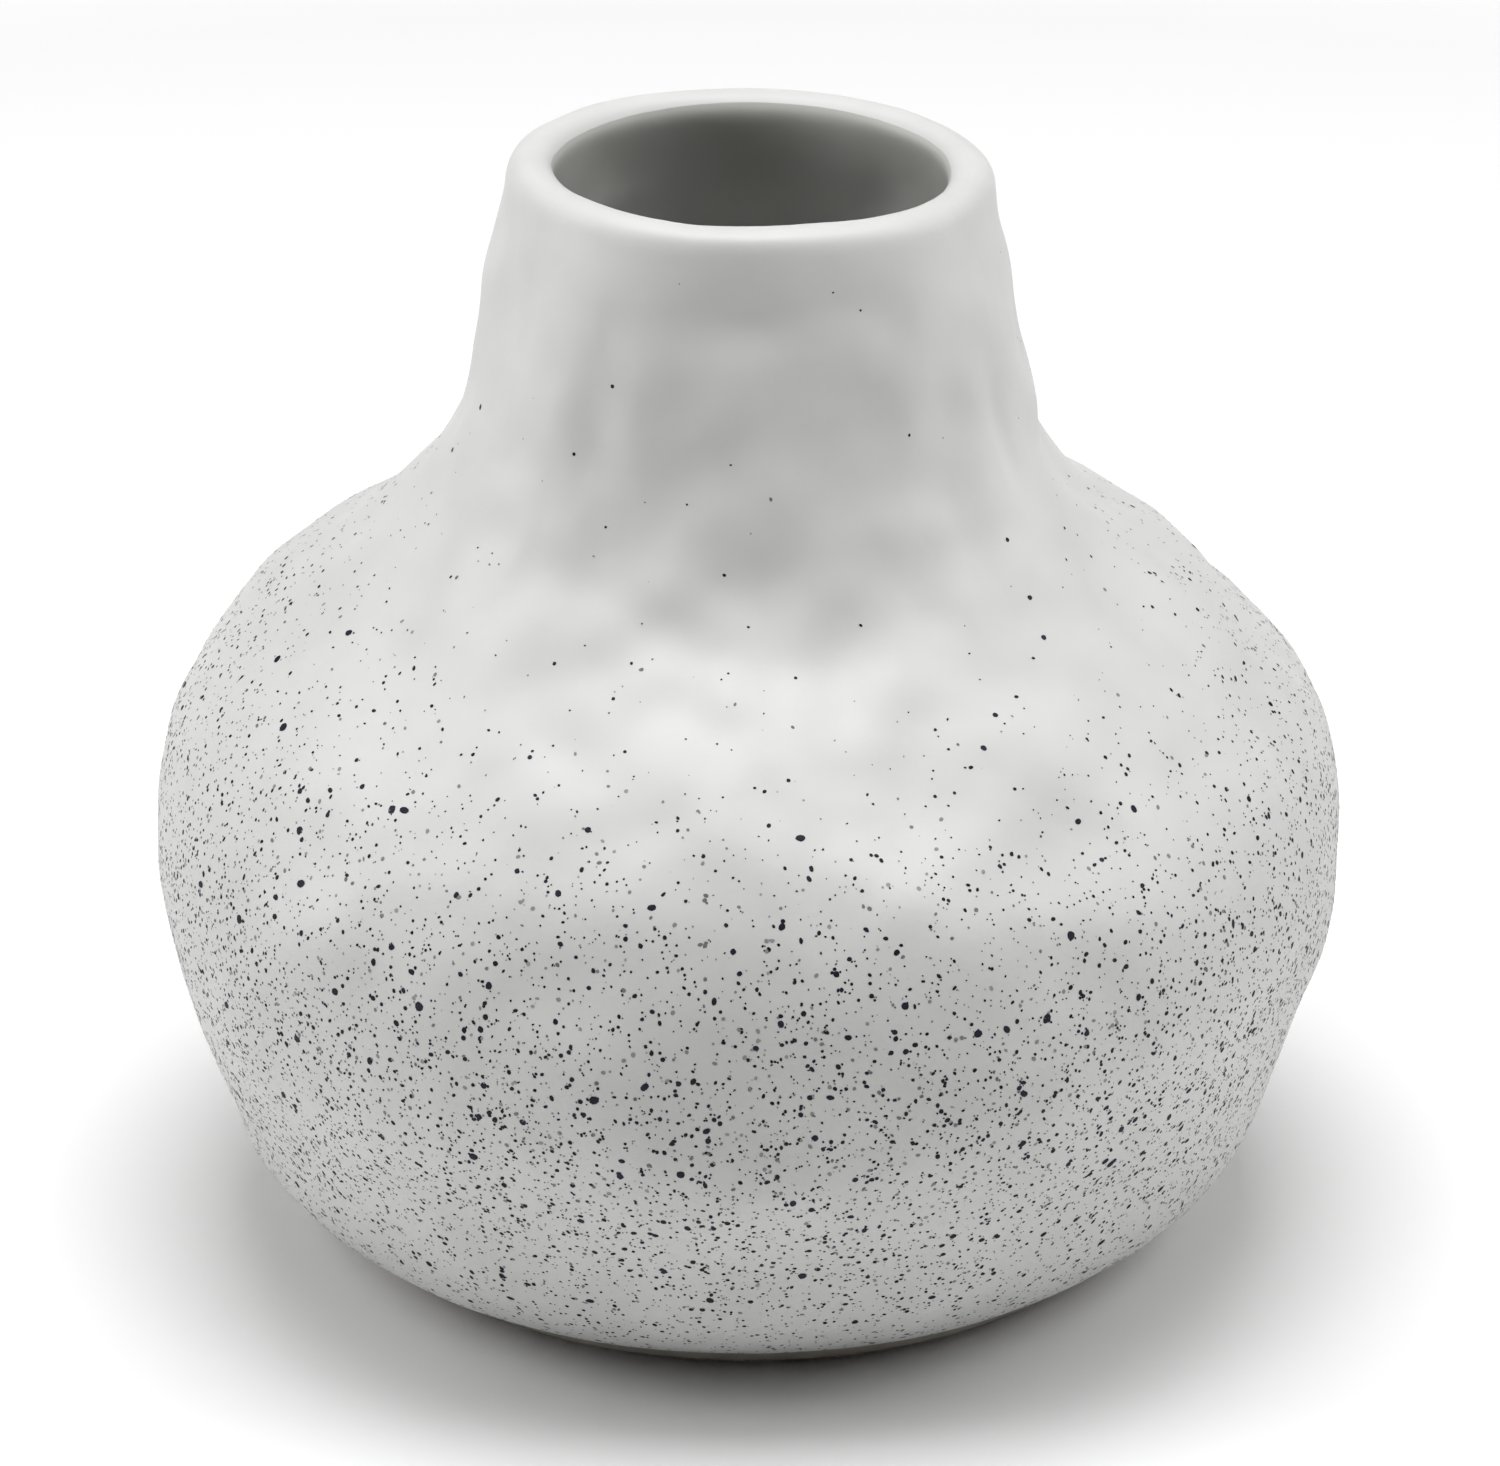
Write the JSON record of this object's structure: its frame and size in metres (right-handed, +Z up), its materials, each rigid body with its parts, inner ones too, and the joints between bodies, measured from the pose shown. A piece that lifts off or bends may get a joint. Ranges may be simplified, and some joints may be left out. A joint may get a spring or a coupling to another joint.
{
  "type": "ceramic bud vase",
  "caption": "Squat round stoneware vase with a tapering neck and an open rounded mouth, satin speckled white outside and grey-lined inside, for cut or dried stems.",
  "frame": {"origin": "on the plane that the foot pads rest on, under the middle of the vase", "axes": "+Z up through the mouth, -Y towards the front, +X to the right; the mouth leans slightly towards +X"},
  "size_m": [0.1556, 0.159, 0.1462],
  "materials": {
    "clay": "matte",
    "white_glaze": "satin",
    "grey_glaze": "satin",
    "felt": "matte"
  },
  "bodies": {
    "root": {"ceramic_body": "clay", "outer_glaze": "white_glaze", "inner_glaze": "grey_glaze", "foot_pad_front_right": "felt", "foot_pad_back_right": "felt", "foot_pad_back_left": "felt", "foot_pad_front_left": "felt"}
  },
  "joints": []
}
